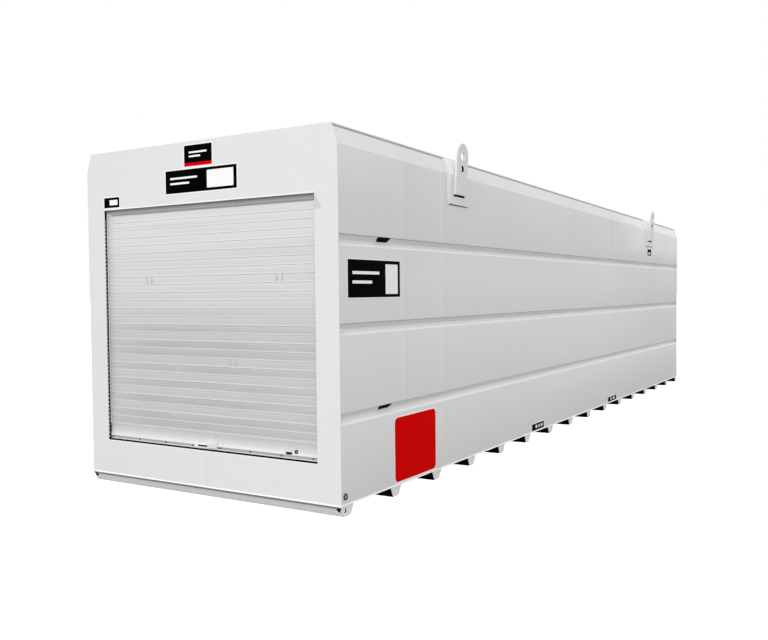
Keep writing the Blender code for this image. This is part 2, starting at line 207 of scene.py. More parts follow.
class Finish:
    """A node material under construction: its shader, and short ways to add nodes.

    A grey is given as one number. Tints are given as a colour or as a number of times the base colour.
    """

    def __init__(self, name, color, roughness, metallic=0.0):
        self.material = bpy.data.materials.new(name)
        self.material.use_nodes = True
        self.tree = self.material.node_tree
        self.shader = self.tree.nodes["Principled BSDF"]
        self.color = color if isinstance(color, tuple) else (color, color, color)
        self.roughness = roughness
        self.color_out = (*self.color, 1.0)
        self.normal_out = None
        self.set(self.shader, {"Base Color": self.color_out, "Roughness": roughness, "Metallic": metallic})
        self.place = self.add("ShaderNodeTexCoord").outputs["Object"]

    def set(self, node, inputs):
        """Give each named socket of a node a value, or join it to an output."""
        for name, value in inputs.items():
            if isinstance(value, bpy.types.NodeSocket):
                self.tree.links.new(value, node.inputs[name])
            else:
                node.inputs[name].default_value = value

    def add(self, kind, inputs=None, **settings):
        node = self.tree.nodes.new(kind)
        for name, value in settings.items():
            setattr(node, name, value)
        self.set(node, inputs or {})
        return node

    def noise(self, scale, stretch=(1, 1, 1), detail=4.0, roughness=0.55, offset=(0, 0, 0)):
        """Noise from 0 to 1 in object space, stretched by different scales along the axes."""
        mapping = self.add("ShaderNodeMapping", {"Vector": self.place, "Scale": stretch, "Location": offset})
        texture = self.add("ShaderNodeTexNoise", {"Vector": mapping.outputs["Vector"], "Scale": scale})
        self.set(texture, {"Detail": detail, "Roughness": roughness})
        return texture.outputs["Fac"]

    def spread(self, source, low, high, to_low=0.0, to_high=1.0):
        """Stretch a value's range, clamped."""
        inputs = {"Value": source, "From Min": low, "From Max": high, "To Min": to_low, "To Max": to_high}
        return self.add("ShaderNodeMapRange", inputs).outputs["Result"]

    def zone(self, *ramps):
        """Product of several values, each stretched as spread does it."""
        result = self.spread(*ramps[0])
        for ramp in ramps[1:]:
            result = self.times(result, self.spread(*ramp))
        return result

    def axes(self):
        """World X, Y and Z of the surface point."""
        split = self.add("ShaderNodeSeparateXYZ", {"Vector": self.place})
        return [split.outputs[axis] for axis in "XYZ"]

    def compute(self, operation, first, second):
        return self.add("ShaderNodeMath", {0: first, 1: second}, operation=operation).outputs["Value"]

    def times(self, first, second):
        return self.compute("MULTIPLY", first, second)

    def tint(self, factor, color, amount=1.0):
        """Mix a tint over what is there where the factor is high."""
        if amount != 1.0:
            factor = self.times(factor, amount)
        if not isinstance(color, tuple):
            color = tuple(channel * color for channel in self.color)
        inputs = {"Factor": factor, "A": self.color_out, "B": (*color, 1.0)}
        self.color_out = self.add("ShaderNodeMix", inputs, data_type="RGBA").outputs["Result"]
        self.set(self.shader, {"Base Color": self.color_out})

    def wash(self, source, low, high, color, amount=1.0):
        """Mix a tint over what is there where a value is high in its range."""
        self.tint(self.spread(source, low, high), color, amount)

    def vary_roughness(self, source, less, more):
        """Let the roughness follow a noise, from so much under its own value to so much over it."""
        varied = self.spread(source, 0.3, 0.7, self.roughness - less, self.roughness + more)
        self.set(self.shader, {"Roughness": varied})

    def bump(self, source, distance, strength):
        """Add relief; later calls stack on the earlier ones."""
        inputs = {"Height": source, "Distance": distance, "Strength": strength}
        if self.normal_out is not None:
            inputs["Normal"] = self.normal_out
        self.normal_out = self.add("ShaderNodeBump", inputs).outputs["Normal"]
        self.set(self.shader, {"Normal": self.normal_out})

    def weather(self, patch, run):
        """Soft patches and faint runs in sprayed paint, each a tint and its amount; gives the patches."""
        patches = self.noise(0.55, stretch=(1.0, 1.0, 0.8), detail=3.0)
        self.wash(patches, 0.35, 0.7, *patch)
        runs = self.noise(2.2, stretch=(2.6, 2.6, 0.16), detail=5.0, offset=(3.1, 1.7, 0.4))
        self.wash(runs, 0.52, 0.74, *run)
        return patches

    def spray(self, patches, speck, ripple):
        """Specks, patchy gloss and orange peel of sprayed paint, on sheet with a slight ripple."""
        self.wash(self.noise(46.0, detail=3.0), 0.66, 0.8, *speck)
        self.vary_roughness(patches, 0.05, 0.09)
        self.bump(self.noise(240.0, detail=1.0), 0.00025, 0.35)
        self.bump(self.noise(1.1, stretch=(1, 1, 0.7), detail=2.0), 0.006, ripple)

    def roll(self, dust):
        """Dusty gloss and fine lines along a roll-formed strip."""
        self.vary_roughness(dust, 0.06, 0.14)
        self.bump(self.noise(90.0, stretch=(0.05, 1.0, 1.0), detail=1.0), 0.0002, 0.25)


def paint_finish(name, color, roughness=0.42, grime=0.1):
    """Sprayed white paint on steel sheet: patches, faint runs, orange peel and a little dirt low down."""
    coat = Finish(name, color, roughness)
    patches = coat.weather((0.955, 1.0), (0.93, 0.55))
    coat.spray(patches, (0.86, 0.35), 0.25)
    z = coat.axes()[2]
    dirt = coat.zone((coat.noise(5.0, stretch=(1, 1, 0.5)), 0.35, 0.75), (z, 0.55, 0.09))
    coat.tint(dirt, (0.47, 0.455, 0.42), grime)
    return coat.material


def front_finish(name, color):
    """The front plate's paint: as on the walls, a shade duller towards the left."""
    coat = Finish(name, color, 0.42)
    x = coat.axes()[0]
    coat.wash(x, 0.6, -1.2, 0.962)
    patches = coat.weather((0.965, 0.5), (0.95, 0.35))
    coat.spray(patches, (0.88, 0.3), 0.2)
    return coat.material


def side_finish(name, color):
    """The walls' paint: each sheet a shade apart, partly its own tone and partly painted shade towards the
    far end, and broad soft areas of painted reflection and painted shade.
    """
    coat = Finish(name, color, 0.4)
    _, y, z = coat.axes()
    ramp = coat.add("ShaderNodeValToRGB", {"Fac": coat.spread(y, FRONT, REAR)})
    ramp.color_ramp.interpolation = "CONSTANT"
    stops = ramp.color_ramp.elements
    stops.remove(stops[1])
    for joint, dullness in zip((0.0, *SHEET_JOINTS), SHEET_TONE_AND_SHADE):
        stop = stops.new(joint / LENGTH) if joint else stops[0]
        stop.position = joint / LENGTH
        stop.color = (dullness, dullness, dullness, 1.0)
    coat.tint(ramp.outputs["Color"], 0.935)
    patches = coat.weather((0.97, 0.6), (0.93, 0.3))
    wobble = coat.noise(1.6, detail=2.0, offset=(0.0, 4.0, 1.0))
    # Painted reflections and painted shade: the soft areas below are lighter, except the darker middle of the
    # far sheets
    # Clouds high on the far sheets, the shoulder near the front, below the top groove, the foot,
    # low beyond the middle, and the middle of the far sheets
    painted_light_zones = (
        (1.16, 0.9, (y, 1.6, 3.2), (z, 2.44, 2.62), (wobble, 0.25, 0.55, 0.55, 1.0)),
        (1.1, 0.8, (y, FRONT + 1.2, FRONT + 0.2), (z, 2.7, 3.05), (z, 3.12, 3.08, 0.4, 1.0)),
        (1.05, 0.8, (z, 2.25, 1.95)),
        (1.06, 0.5, (z, 0.85, 0.4)),
        (1.1, 0.5, (y, -2.5, -0.5), (z, 1.5, 1.2), (z, 0.45, 0.65)),
        (0.965, 0.95, (y, 1.6, 4.0), (z, 2.34, 2.26), (z, 0.8, 1.5, 0.3, 1.0)),
    )
    for brightness, amount, *ramps in painted_light_zones:
        coat.tint(coat.zone(*ramps), brightness, amount)
    coat.spray(patches, (0.88, 0.25), 0.2)
    return coat.material


def slat_finish(name, color, dustiness):
    """Coated roll-formed slats: brighter near the top, duller and more or less dusty below, with feet painted
    lighter low down as a painted highlight.
    """
    coat = Finish(name, color, 0.38, 0.1)
    x, _, z = coat.axes()
    coat.wash(z, 2.42, 2.28, 0.93)
    low = coat.spread(z, 1.92, 1.5)
    coat.tint(low, 0.8)
    bands = coat.noise(13.0, stretch=(0.03, 1.0, 1.0), detail=1.0)
    coat.wash(bands, 0.36, 0.68, 0.8, 0.35)
    dust = coat.noise(5.0, stretch=(0.22, 1.0, 2.2), detail=5.0, roughness=0.6, offset=(1.3, 0, 0.2))
    cover = coat.zone((dust, 0.3, 0.6, 0.45, 1.0), (x, -1.25, -0.8, 0.35, 1.0), (x, 0.0, 1.2, 1.0, 0.45))
    cover = coat.times(cover, low)
    coat.tint(cover, 0.63, dustiness)
    grains = coat.spread(coat.noise(120.0, detail=3.0, roughness=0.6), 0.5, 0.66)
    coat.tint(coat.times(grains, cover), (0.43, 0.43, 0.41), 0.15 + 0.45 * dustiness)
    slats = coat.compute("DIVIDE", coat.compute("SUBTRACT", z, CURTAIN_LOW), SLAT_STEP)
    above_foot = coat.compute("FRACT", slats, 0.0)
    # Painted highlight: the slats' feet lighter low down
    coat.tint(coat.times(coat.spread(above_foot, 0.14, 0.08), low), 0.9, 0.8)
    rubbed = coat.noise(60.0, stretch=(0.06, 1.0, 1.0), detail=2.0)
    coat.wash(rubbed, 0.6, 0.75, 1.04, 0.3)
    coat.roll(dust)
    return coat.material


def bar_finish(name, color):
    """The bottom bar's coating: dusty along its top, with grains of dirt."""
    coat = Finish(name, color, 0.42, 0.1)
    z = coat.axes()[2]
    coat.wash(z, up(0.395), up(0.475), 0.8)
    dust = coat.noise(5.0, stretch=(0.22, 1.0, 2.2), detail=5.0, roughness=0.6, offset=(0.3, 0, 0.9))
    coat.wash(dust, 0.45, 0.7, 0.84, 0.5)
    grains = coat.noise(120.0, detail=3.0, roughness=0.6)
    coat.wash(grains, 0.58, 0.72, 0.74, 0.5)
    coat.roll(dust)
    return coat.material


def foot_finish(name, color):
    """The front bearer's paint, with painted shade under the edge it carries broken up by streaks, and faint
    darker streaks.
    """
    coat = Finish(name, color, 0.45)
    z = coat.axes()[2]
    streaks = coat.noise(7.0, stretch=(0.5, 1.0, 1.0), detail=4.0)
    # Painted shade under the front's bottom edge
    coat.tint(coat.zone((z, 0.05, 0.086), (streaks, 0.2, 0.5, 0.75, 1.0)), 0.66)
    coat.wash(streaks, 0.55, 0.75, 0.9, 0.4)
    coat.vary_roughness(streaks, 0.05, 0.09)
    coat.bump(coat.noise(240.0, detail=1.0), 0.00025, 0.35)
    return coat.material


def metal_finish(name, color, roughness, metallic):
    """Plain milled or galvanised metal with fine lines along it and faint dull spots."""
    coat = Finish(name, color, roughness, metallic)
    spots = coat.noise(6.0, stretch=(0.3, 1.0, 1.0), detail=4.0)
    coat.wash(spots, 0.42, 0.68, 0.92)
    lines = coat.noise(160.0, stretch=(0.05, 1.0, 1.0), detail=2.0)
    coat.wash(lines, 0.5, 0.72, 1.06, 0.6)
    coat.vary_roughness(spots, 0.08, 0.12)
    coat.bump(lines, 0.0002, 0.5)
    return coat.material


def dark_finish(name, color, roughness=0.62, grain=300.0):
    """Rubber, bristle or coating with a dusty bloom and a fine grain."""
    coat = Finish(name, color, roughness)
    bloom = coat.noise(9.0, detail=6.0, roughness=0.6)
    coat.wash(bloom, 0.45, 0.75, tuple(channel + 0.008 for channel in coat.color), 0.7)
    coat.set(coat.shader, {"Specular IOR Level": 0.02})
    coat.vary_roughness(bloom, 0.1, 0.12)
    coat.bump(coat.noise(grain, detail=2.0), 0.0005, 0.5)
    return coat.material


def vinyl_finish(name, color):
    """Printed sign film: even colour with slight fading, dust and a soft ripple."""
    coat = Finish(name, color, 0.45)
    coat.set(coat.shader, {"Specular IOR Level": 0.01})
    fade = coat.noise(3.5, detail=3.0)
    lighter = tuple(min(1.0, channel * 1.05 + 0.0004) for channel in coat.color)
    coat.wash(fade, 0.35, 0.7, lighter)
    coat.wash(coat.noise(60.0, detail=4.0), 0.6, 0.8, 0.85, 0.3)
    coat.vary_roughness(fade, 0.05, 0.08)
    coat.bump(coat.noise(26.0, detail=2.0), 0.0006, 0.2)
    return coat.material


PAINT = paint_finish("sprayed_white_paint", 0.8)
FRONT_PAINT = front_finish("sprayed_front_paint", 0.8)
SIDE_PAINT = side_finish("sprayed_wall_paint", 0.782)
# Painted highlight along the sheet joints
JOINT_HIGHLIGHT_PAINT = paint_finish("painted_joint_highlight", 0.87, 0.4, 0.05)
JOINT_SHADE = paint_finish("butt_joint_paint", 0.7, 0.5, 0.05)
# A lighter copy of the white paint: a painted highlight on lips, ends and faces that catch the light
LIT_WHITE_PAINT = paint_finish("painted_highlight_white", 0.93, 0.35, 0.03)
# Painted shade where the header's corner shades the right jamb
CORNER_SHADE_PAINT = paint_finish("painted_corner_shade", (0.67, 0.67, 0.667), 0.5, 0.05)
# Painted shade in the grooves' creases, and painted light in the rest of the grooves
CREASE_SHADE_PAINT = paint_finish("painted_crease_shade", 0.6, 0.45, 0.05)
GROOVE_LIGHT_PAINT = paint_finish("painted_groove_light", 0.83, 0.42, 0.05)
# Painted shade on the front bearer under the front's bottom edge
FOOT_SHADED_PAINT = foot_finish("front_bearer_paint", 0.8)
SLATS = slat_finish("coated_slats", 0.765, 0.1)
DUSTY = slat_finish("dusty_slats", 0.765, 0.82)
BAR_METAL = bar_finish("bar_coating", 0.77)
TAB_METAL = metal_finish("slat_tab_metal", 0.55, 0.5, 0.1)
PLUG_METAL = metal_finish("dull_plug_metal", 0.07, 0.45, 0.3)
RAIL_METAL = metal_finish("dull_rail_metal", 0.48, 0.5, 0.2)
CLIP_METAL = metal_finish("clip_metal", 0.85, 0.55, 0.1)
SEAL_GREY = metal_finish("brush_holder_metal", (0.37, 0.375, 0.36), 0.55, 0.1)
# Painted shadow under the front's bottom edge
FOOT_SHADOW_PAINT = metal_finish("painted_foot_shadow", 0.27, 0.6, 0.0)
# Painted shade under the roof's turned-down edge
ROOF_EDGE_SHADE = metal_finish("painted_roof_edge_shade", (0.42, 0.42, 0.41), 0.6, 0.0)
DARK_FIXINGS = metal_finish("dark_fixings", 0.09, 0.45, 0.3)
ZINC = metal_finish("zinc_fixings", 0.55, 0.35, 0.8)
# Black for real rubber, and for blocks that are painted shade in slots, holes and gaps
BLACK_RUBBER_AND_SHADE = dark_finish("black_rubber_and_painted_shade", 0.003)
BRISTLES = dark_finish("dark_bristles", (0.46, 0.46, 0.455), 0.8, 900.0)
# Painted shade on the underside: the floor plate and the bearers' hidden faces
UNDERSIDE_SHADE = dark_finish("painted_underside_shade", 0.006, 0.85, 90.0)

# Sign films, each with its slot
BLACK = (vinyl_finish("sign_black_film", 0.0006), "sign_black")
WHITE = (vinyl_finish("sign_white_film", 0.95), "sign_white")
RED = (vinyl_finish("sign_red_film", (0.7, 0.0, 0.0)), "sign_red")


# Mesh building

def add_object(name, bm, materials=()):
    """Object with a bmesh as its mesh, linked to the scene."""
    mesh = bpy.data.meshes.new(name)
    bm.to_mesh(mesh)
    bm.free()
    for material in materials:
        mesh.materials.append(material)
    item = bpy.data.objects.new(name, mesh)
    bpy.context.scene.collection.objects.link(item)
    return item


def new_piece(name, bm, material, slot, nodes=(), smooth=35.0, flat_over=None):
    """Turn a bmesh into a piece of the tank that rides with it and may stand for CAD nodes."""
    bmesh.ops.recalc_face_normals(bm, faces=bm.faces)
    piece = add_object(name, bm, material if isinstance(material, tuple) else (material,))
    shade(piece.data, smooth, flat_over)
    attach(piece, "root")
    if nodes:
        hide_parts(*nodes)
    return piece


def side_piece(side, name, bm, *looks):
    """Piece modelled on the right, mirrored where it is the left one, with its side in its name."""
    if side < 0:
        mirrored(bm)
    return new_piece(name + HANDS[side], bm, *looks)


def shade(mesh, smooth, flat_over):
    """Smooth shading with sharp edges over an angle, and flat shading for faces over an area."""
    mesh.shade_smooth()
    mesh.set_sharp_from_angle(angle=math.radians(smooth))
    if flat_over is not None:
        for polygon in mesh.polygons:
            polygon.use_smooth = polygon.area < flat_over


def bake(piece, flat_over=None):
    """Apply a piece's modifiers for good and mark its sharp edges and big flat faces again."""
    bpy.context.view_layer.update()
    graph = bpy.context.evaluated_depsgraph_get()
    result = bpy.data.meshes.new_from_object(piece.evaluated_get(graph))
    piece.modifiers.clear()
    old = piece.data
    piece.data = result
    bpy.data.meshes.remove(old)
    shade(result, 35.0, flat_over)


def thicken(piece, direction):
    """Turn an open sheet's faces along a direction and give the sheet its thickness behind them."""
    mesh = piece.data
    total = sum((polygon.normal * polygon.area for polygon in mesh.polygons), Vector())
    if total.dot(Vector(direction)) < 0.0:
        mesh.flip_normals()
    modifier = piece.modifiers.new("thickness", "SOLIDIFY")
    modifier.thickness = SKIN
    modifier.offset = -1.0
    modifier.use_even_offset = True
    bake(piece)


def carve(piece, cutter_mesh):
    """Cut a shape out of a piece for good."""
    cutter = add_object("cutter", cutter_mesh)
    modifier = piece.modifiers.new("carve", "BOOLEAN")
    modifier.operation = "DIFFERENCE"
    modifier.solver = "EXACT"
    modifier.object = cutter
    bake(piece)
    bpy.data.objects.remove(cutter, do_unlink=True)


def fillet(points, radii, steps=4):
    """Round the corners of an open line of 2-D points, each by its radius; 0 leaves a point as it is."""
    result = []
    for index, (point, radius) in enumerate(zip(points, radii)):
        if not radius:
            result.append(point)
            continue
        corner = Vector(point)
        before, after = [(Vector(points[index + way]) - corner).normalized() for way in (-1, 1)]
        angle = before.angle(after)
        reach = radius / math.tan(angle / 2)
        centre = corner + (before + after).normalized() * (radius / math.sin(angle / 2))
        first = corner + before * reach - centre
        turn = first.angle_signed(corner + after * reach - centre)
        for step in range(steps + 1):
            spin = Matrix.Rotation(-turn * step / steps, 2)
            result.append(tuple(centre + spin @ first))
    return result


def sheet_from_rows(rows, skip=()):
    """Open sheet through rows of points; skip holds the (row, column) places where it has no face."""
    bm = bmesh.new()
    grid = [[bm.verts.new(point) for point in row] for row in rows]
    for row, (line, after) in enumerate(zip(grid, grid[1:])):
        for column in range(len(line) - 1):
            if (row, column) not in skip:
                bm.faces.new((line[column], after[column], after[column + 1], line[column + 1]))
    return bm


def loft(rings, capped=True):
    """Skin from each ring of points to the next; a ring of one point is a tip."""
    bm = bmesh.new()
    loops = [[bm.verts.new(point) for point in ring] for ring in rings]
    if capped:
        bm.faces.new(loops[0])
        bm.faces.new(list(reversed(loops[-1])))
    for lower, upper in zip(loops, loops[1:]):
        count = max(len(lower), len(upper))
        for index in range(count):
            after = (index + 1) % count
            corners = (lower[index % len(lower)], upper[index % len(upper)],
                       upper[after % len(upper)], lower[after % len(lower)])
            bm.faces.new(tuple(dict.fromkeys(corners)))
    return bm


def prism(outline, low, high, axis):
    """Closed prism of a 2-D outline between two places along an axis, 0 for X, 1 for Y, 2 for Z."""
    bm = loft([[(*point[:axis], depth, *point[axis:]) for point in outline] for depth in (low, high)])
    bmesh.ops.recalc_face_normals(bm, faces=bm.faces)
    return bm


def lathe(profile, matrix, segments=32):
    """Turned piece: a profile of (radius, height) pairs about the matrix's local Z."""
    rings = []
    for radius, height in profile:
        turns = [2 * math.pi * step / segments for step in range(segments if radius else 1)]
        ring = [Vector((radius * math.cos(turn), radius * math.sin(turn), height)) for turn in turns]
        rings.append([matrix @ point for point in ring])
    return loft(rings, capped=False)


def facing_front(place, lean=0.0):
    """Matrix that turns a lathe's axis out of the front, and down by a lean."""
    return Matrix.Translation(place) @ Matrix.Rotation(math.radians(90) + lean, 4, "X")


def facing_side(place, side):
    """Matrix that turns a lathe's axis out of one side."""
    return Matrix.Translation(place) @ Matrix.Rotation(math.radians(90 * side), 4, "Y")


def weld_bead(points, radius, step=0.004, sides=8):
    """Rippled bead of weld along a line of points, its two ends closed."""
    path = [Vector(point) for point in points]
    samples = []
    for first, second in zip(path, path[1:]):
        count = max(1, round((second - first).length / step))
        samples.extend(first.lerp(second, index / count) for index in range(count))
    samples.append(path[-1])
    rings = []
    for index, centre in enumerate(samples):
        ahead = samples[min(index + 1, len(samples) - 1)] - samples[max(index - 1, 0)]
        ahead.normalize()
        aside = ahead.orthogonal().normalized()
        over = ahead.cross(aside)
        size = radius * (1.0 + 0.14 * math.sin(index * 1.9) + 0.1 * noise.noise(centre * 60.0))
        turns = [2 * math.pi * side / sides for side in range(sides)]
        rings.append([centre + (aside * math.cos(turn) + over * math.sin(turn)) * size for turn in turns])
    return loft(rings)


def rounded_rectangle(low, high, radius, steps=5):
    """Outline of a rectangle with round corners, anticlockwise."""
    left, bottom = low[0] + radius, low[1] + radius
    right, top = high[0] - radius, high[1] - radius
    points = []
    for quarter, (x, y) in enumerate(((right, top), (left, top), (left, bottom), (right, bottom))):
        for step in range(steps + 1):
            angle = math.radians(90 * (quarter + step / steps))
            points.append((x + radius * math.cos(angle), y + radius * math.sin(angle)))
    return points


def soften(bm, width, angle=35.0, segments=2):
    """Bevel the edges that turn by more than an angle."""
    edges = [edge for edge in bm.edges if edge.calc_face_angle(0.0) > math.radians(angle)]
    bmesh.ops.bevel(bm, geom=edges, offset=width, segments=segments, affect="EDGES", profile=0.5,
                    clamp_overlap=True)
    return bm


def block(low, high, radius):
    """Box between two corners, its edges softened unless the radius is 0."""
    low = Vector(low)
    high = Vector(high)
    bm = bmesh.new()
    bmesh.ops.create_cube(bm, size=1.0, matrix=Matrix.LocRotScale((low + high) / 2, None, high - low))
    return soften(bm, radius) if radius else bm


def mirrored(bm):
    bmesh.ops.scale(bm, vec=(-1, 1, 1), verts=bm.verts)
    bmesh.ops.reverse_faces(bm, faces=bm.faces)
    return bm


def joined(parts):
    """One bmesh of several, which are freed."""
    bm = bmesh.new()
    for part in parts:
        mesh = bpy.data.meshes.new("part")
        part.to_mesh(mesh)
        part.free()
        bm.from_mesh(mesh)
        bpy.data.meshes.remove(mesh)
    return bm


# Walls and roof

def wall_section(top):
    """Rounded wall section from its bottom return up, as (place across, height) with 0 the outer face."""
    points = [(-BOTTOM_RETURN, BASE), (0.0, BASE)]
    radii = [0.0, FOLD_RADIUS]
    for height in GROOVE_HEIGHTS:
        for across, rise, radius in GROOVE_FOLDS:
            points.append((across, up(height) + rise))
            radii.append(radius)
    points.extend(top)
    radii.extend([FOLD_RADIUS] * (len(top) - 1) + [0.0])
    return fillet(points, radii)


def wall_stations():
    """Places along the wall with a row of points: even steps, the joints and the vents' ends."""
    low = FRONT + SHEET + GAP
    high = REAR - SHEET - GAP
    stations = {low, high, along(VENT_START), along(VENT_END)}
    for joint in SHEET_JOINTS:
        for offset in (JOINT_HALF, JOINT_CREST):
            stations.update((along(joint) - offset, along(joint) + offset))
    for index in range(1, WALL_STEPS):
        place = low + (high - low) * index / WALL_STEPS
        if all(abs(place - along(joint)) > 0.02 for joint in SHEET_JOINTS):
            stations.add(place)
    return sorted(round(place, 5) for place in stations)


def joint_rise(y):
    """Height of the ground-back weld at a sheet joint."""
    return JOINT_RISE if any(abs(y - along(joint)) < 0.006 for joint in SHEET_JOINTS) else 0.0


def wall_material(face):
    """Material of a wall face: 1 on a joint that shows, a painted highlight, 2 in a groove's crease, painted
    shade, 3 in the rest of a groove, painted light.
    """
    for height in GROOVE_HEIGHTS:
        above = face.calc_center_median().z - up(height)
        if GROOVE_HALF - 0.0095 < above < GROOVE_HALF + 0.0005:
            return 2
        if abs(above) < GROOVE_HALF - 0.001:
            return 3
    places = [vert.co.y for vert in face.verts]
    middle = (min(places) + max(places)) / 2
    return int(any(abs(middle - along(joint)) < JOINT_HALF for joint in SHEET_JOINTS[1:]))


def wall_wave(y, z):
    """Slight unevenness of a big sheet, in metres and never outwards, nothing at the ends."""
    fade = min(1.0, (y - FRONT) / 0.5, (REAR - y) / 0.5)
    return 0.0014 * fade * (noise.noise(Vector((3.7, y * 0.9, z * 1.3))) - 1.0) / 2


def vent_faces(stations, section):
    """Rows and columns of the faces that a wall lacks at its vent slots."""
    rows = [row for row, y in enumerate(stations) if along(VENT_START) - 1e-4 < y < along(VENT_END) - 1e-4]
    columns = []
    for column, (point, after) in enumerate(zip(section, section[1:])):
        middle = (point[2] + after[2]) / 2
        if any(0.005 < middle - up(height) < GROOVE_HALF - 0.001 for height in VENT_HEIGHTS):
            columns.append(column)
    return {(row, column) for row in rows for column in columns}


def make_side_skin(side):
    """Side wall with rounded folds, welded joints and two vent slots."""
    stations = wall_stations()
    rows = []
    for y in stations:
        row = []
        for across, z in wall_section([(0.0, fold_z(y)), (-CHAMFER_WIDTH, roof_z(y) - ROOF_EDGE_DROP - GAP)]):
            rise = joint_rise(y) if BASE + 0.01 < z < fold_z(y) else 0.0
            wave = wall_wave(y, z) if across > -0.001 and z > BASE + 0.03 else 0.0
            row.append((HALF + across + rise + wave - 0.001, y, z))
        rows.append(row)
    bm = sheet_from_rows(rows, vent_faces(stations, rows[0]))
    for face in bm.faces:
        face.material_index = wall_material(face)
    # Joints take a painted highlight, the grooves' creases painted shade and the rest of the grooves painted
    # light
    looks = (SIDE_PAINT, JOINT_HIGHLIGHT_PAINT, CREASE_SHADE_PAINT, GROOVE_LIGHT_PAINT)
    piece = side_piece(side, "side_skin_", bm, looks, "white_paint", ["side_wall_" + HANDS[side]])
    thicken(piece, (side, 0, 0))


def make_vent_inserts(side):
    """Black tray behind each vent slot, with a folded rim: painted shade for the dark inside of the tank."""
    inner = HALF - GROOVE_DEPTH - 0.004
    trays = []
    for height in VENT_HEIGHTS:
        z = up(height)
        outline = [(inner - 0.002, z + 0.001), (HALF - 0.004, z + 0.049),
                   (HALF - 0.01, z + 0.056), (inner - 0.01, z + 0.01)]
        trays.append(prism(outline, along(VENT_START) - 0.01, along(VENT_END) + 0.01, 1))
    side_piece(side, "vent_shade_tray_", joined(trays), BLACK_RUBBER_AND_SHADE, "dark_fitting")


def make_roof_skin():
    """Roof sheet with turned-down edges, a slight sag and ground welds across it."""
    rows = []
    for y in wall_stations():
        top = roof_z(y)
        low = top - ROOF_EDGE_DROP
        corners = [(ROOF_HALF, low), (ROOF_HALF, top), (-ROOF_HALF, top), (-ROOF_HALF, low)]
        line = fillet(corners, (0.0, FOLD_RADIUS, FOLD_RADIUS, 0.0))
        middle = len(line) // 2
        start = Vector(line[middle - 1])
        strips = [start.lerp(Vector(line[middle]), part / ROOF_STRIPS) for part in range(1, ROOF_STRIPS)]
        row = []
        for across, z in (*line[:middle], *strips, *line[middle:]):
            flat = min(1.0, max(0.0, (ROOF_HALF - 0.05 - abs(across)) / 0.3))
            sag = flat * (0.0025 * noise.noise(Vector((across * 0.8, y * 0.8, 5.1))) - 0.002)
            rise = joint_rise(y) if flat > 0.0 else 0.0
            row.append((across, y, z + sag + rise))
        rows.append(row)
    thicken(new_piece("roof_skin", sheet_from_rows(rows), PAINT, "white_paint", ["roof_panel"]), (0, 0, 1))


def make_roof_edge(side):
    """Dark grey bead where the roof's turned edge meets the sloped shoulder, cut at the lug pads: painted
    shade under the turned edge.
    """
    section = ((0.0005, -0.026), (0.0064, -0.0262), (0.0068, -0.0245), (0.0036, -0.0135), (0.0005, -0.013))
    stops = [FRONT + 0.004, REAR - 0.004]
    for y in LUG_PLACES.values():
        stops.extend((y - PAD_WIDTH / 2, y + PAD_WIDTH / 2))
    stops.sort()
    strips = []
    for ends in zip(stops[::2], stops[1::2]):
        strips.append(loft([[(ROOF_HALF + out, y, roof_z(y) + drop) for out, drop in section] for y in ends]))
    side_piece(side, "roof_edge_shade_strip_", joined(strips), ROOF_EDGE_SHADE, "dark_fitting")


def make_rear_skin():
    """Rear wall between its corners, with the same grooves."""
    half = OPENING_HALF - GAP
    section = wall_section([(0.0, roof_z(REAR))])
    places = [-half + 2 * half * step / REAR_STRIPS for step in range(REAR_STRIPS + 1)]
    rows = [[(x, REAR + across - GAP, z) for across, z in section] for x in places]
    thicken(new_piece("rear_skin", sheet_from_rows(rows), PAINT, "white_paint", ["rear_panel"]), (0, 1, 0))


# Front

def make_front_plate():
    """One welded front plate with its opening, chamfered top corners and soft edges."""
    fold = fold_z(FRONT)
    roof = roof_z(FRONT)
    outline = [(-HALF, BASE), (HALF, BASE), (HALF, fold),
               (ROOF_HALF, roof), (-ROOF_HALF, roof), (-HALF, fold)]
    piece = new_piece("front_plate", prism(outline, FRONT, FRONT + SHEET, 1), FRONT_PAINT, "white_paint",
                      ["front_header", "front_sill", "front_jamb_left", "front_jamb_right"])
    opening = rounded_rectangle((-OPENING_HALF, up(OPENING_BOTTOM)), (OPENING_HALF, up(OPENING_TOP)), 0.004)
    carve(piece, prism(opening, FRONT - 0.1, FRONT + 0.1, 1))
    softened = piece.modifiers.new("soft_edges", "BEVEL")
    softened.width = 0.0012
    softened.segments = 2
    softened.limit_method = "ANGLE"
    softened.angle_limit = math.radians(40)
    bake(piece, 0.002)


def make_front_returns():
    """Turned-back strips of the front plate: under the header, on the sill and along the bottom."""
    half = OPENING_HALF - GAP
    start = FRONT + SHEET - 0.001
    header = up(OPENING_TOP)
    sill = up(OPENING_BOTTOM)
    parts = []
    for low, high, reach in ((header, header + SHEET, HEADER_RETURN), (sill - SHEET, sill, SILL_RETURN),
                             (BASE + 0.0002, BASE + SHEET, BOTTOM_RETURN)):
        parts.append(block((-half, start, low), (half, FRONT + reach, high), 0.0008))
    new_piece("front_plate_returns", joined(parts), PAINT, "white_paint")


def lip_strip(start, end, low, height, reach):
    """Flat strip with rounded edges on the wall between two plan points, anticlockwise round the tank."""
    outward = Vector((end[1] - start[1], start[0] - end[0])).normalized()
    section = [(reach * out, low + height * part)
               for part, out in ((0.0, 0.6), (0.06, 0.95), (0.16, 1.0), (0.9, 0.35), (1.0, 0.1))]
    section += [(-0.001, low + height), (-0.001, low)]
    rings = []
    for x, y in (start, end):
        rings.append([(x + outward.x * out, y + outward.y * out, z) for out, z in section])
    return loft(rings)


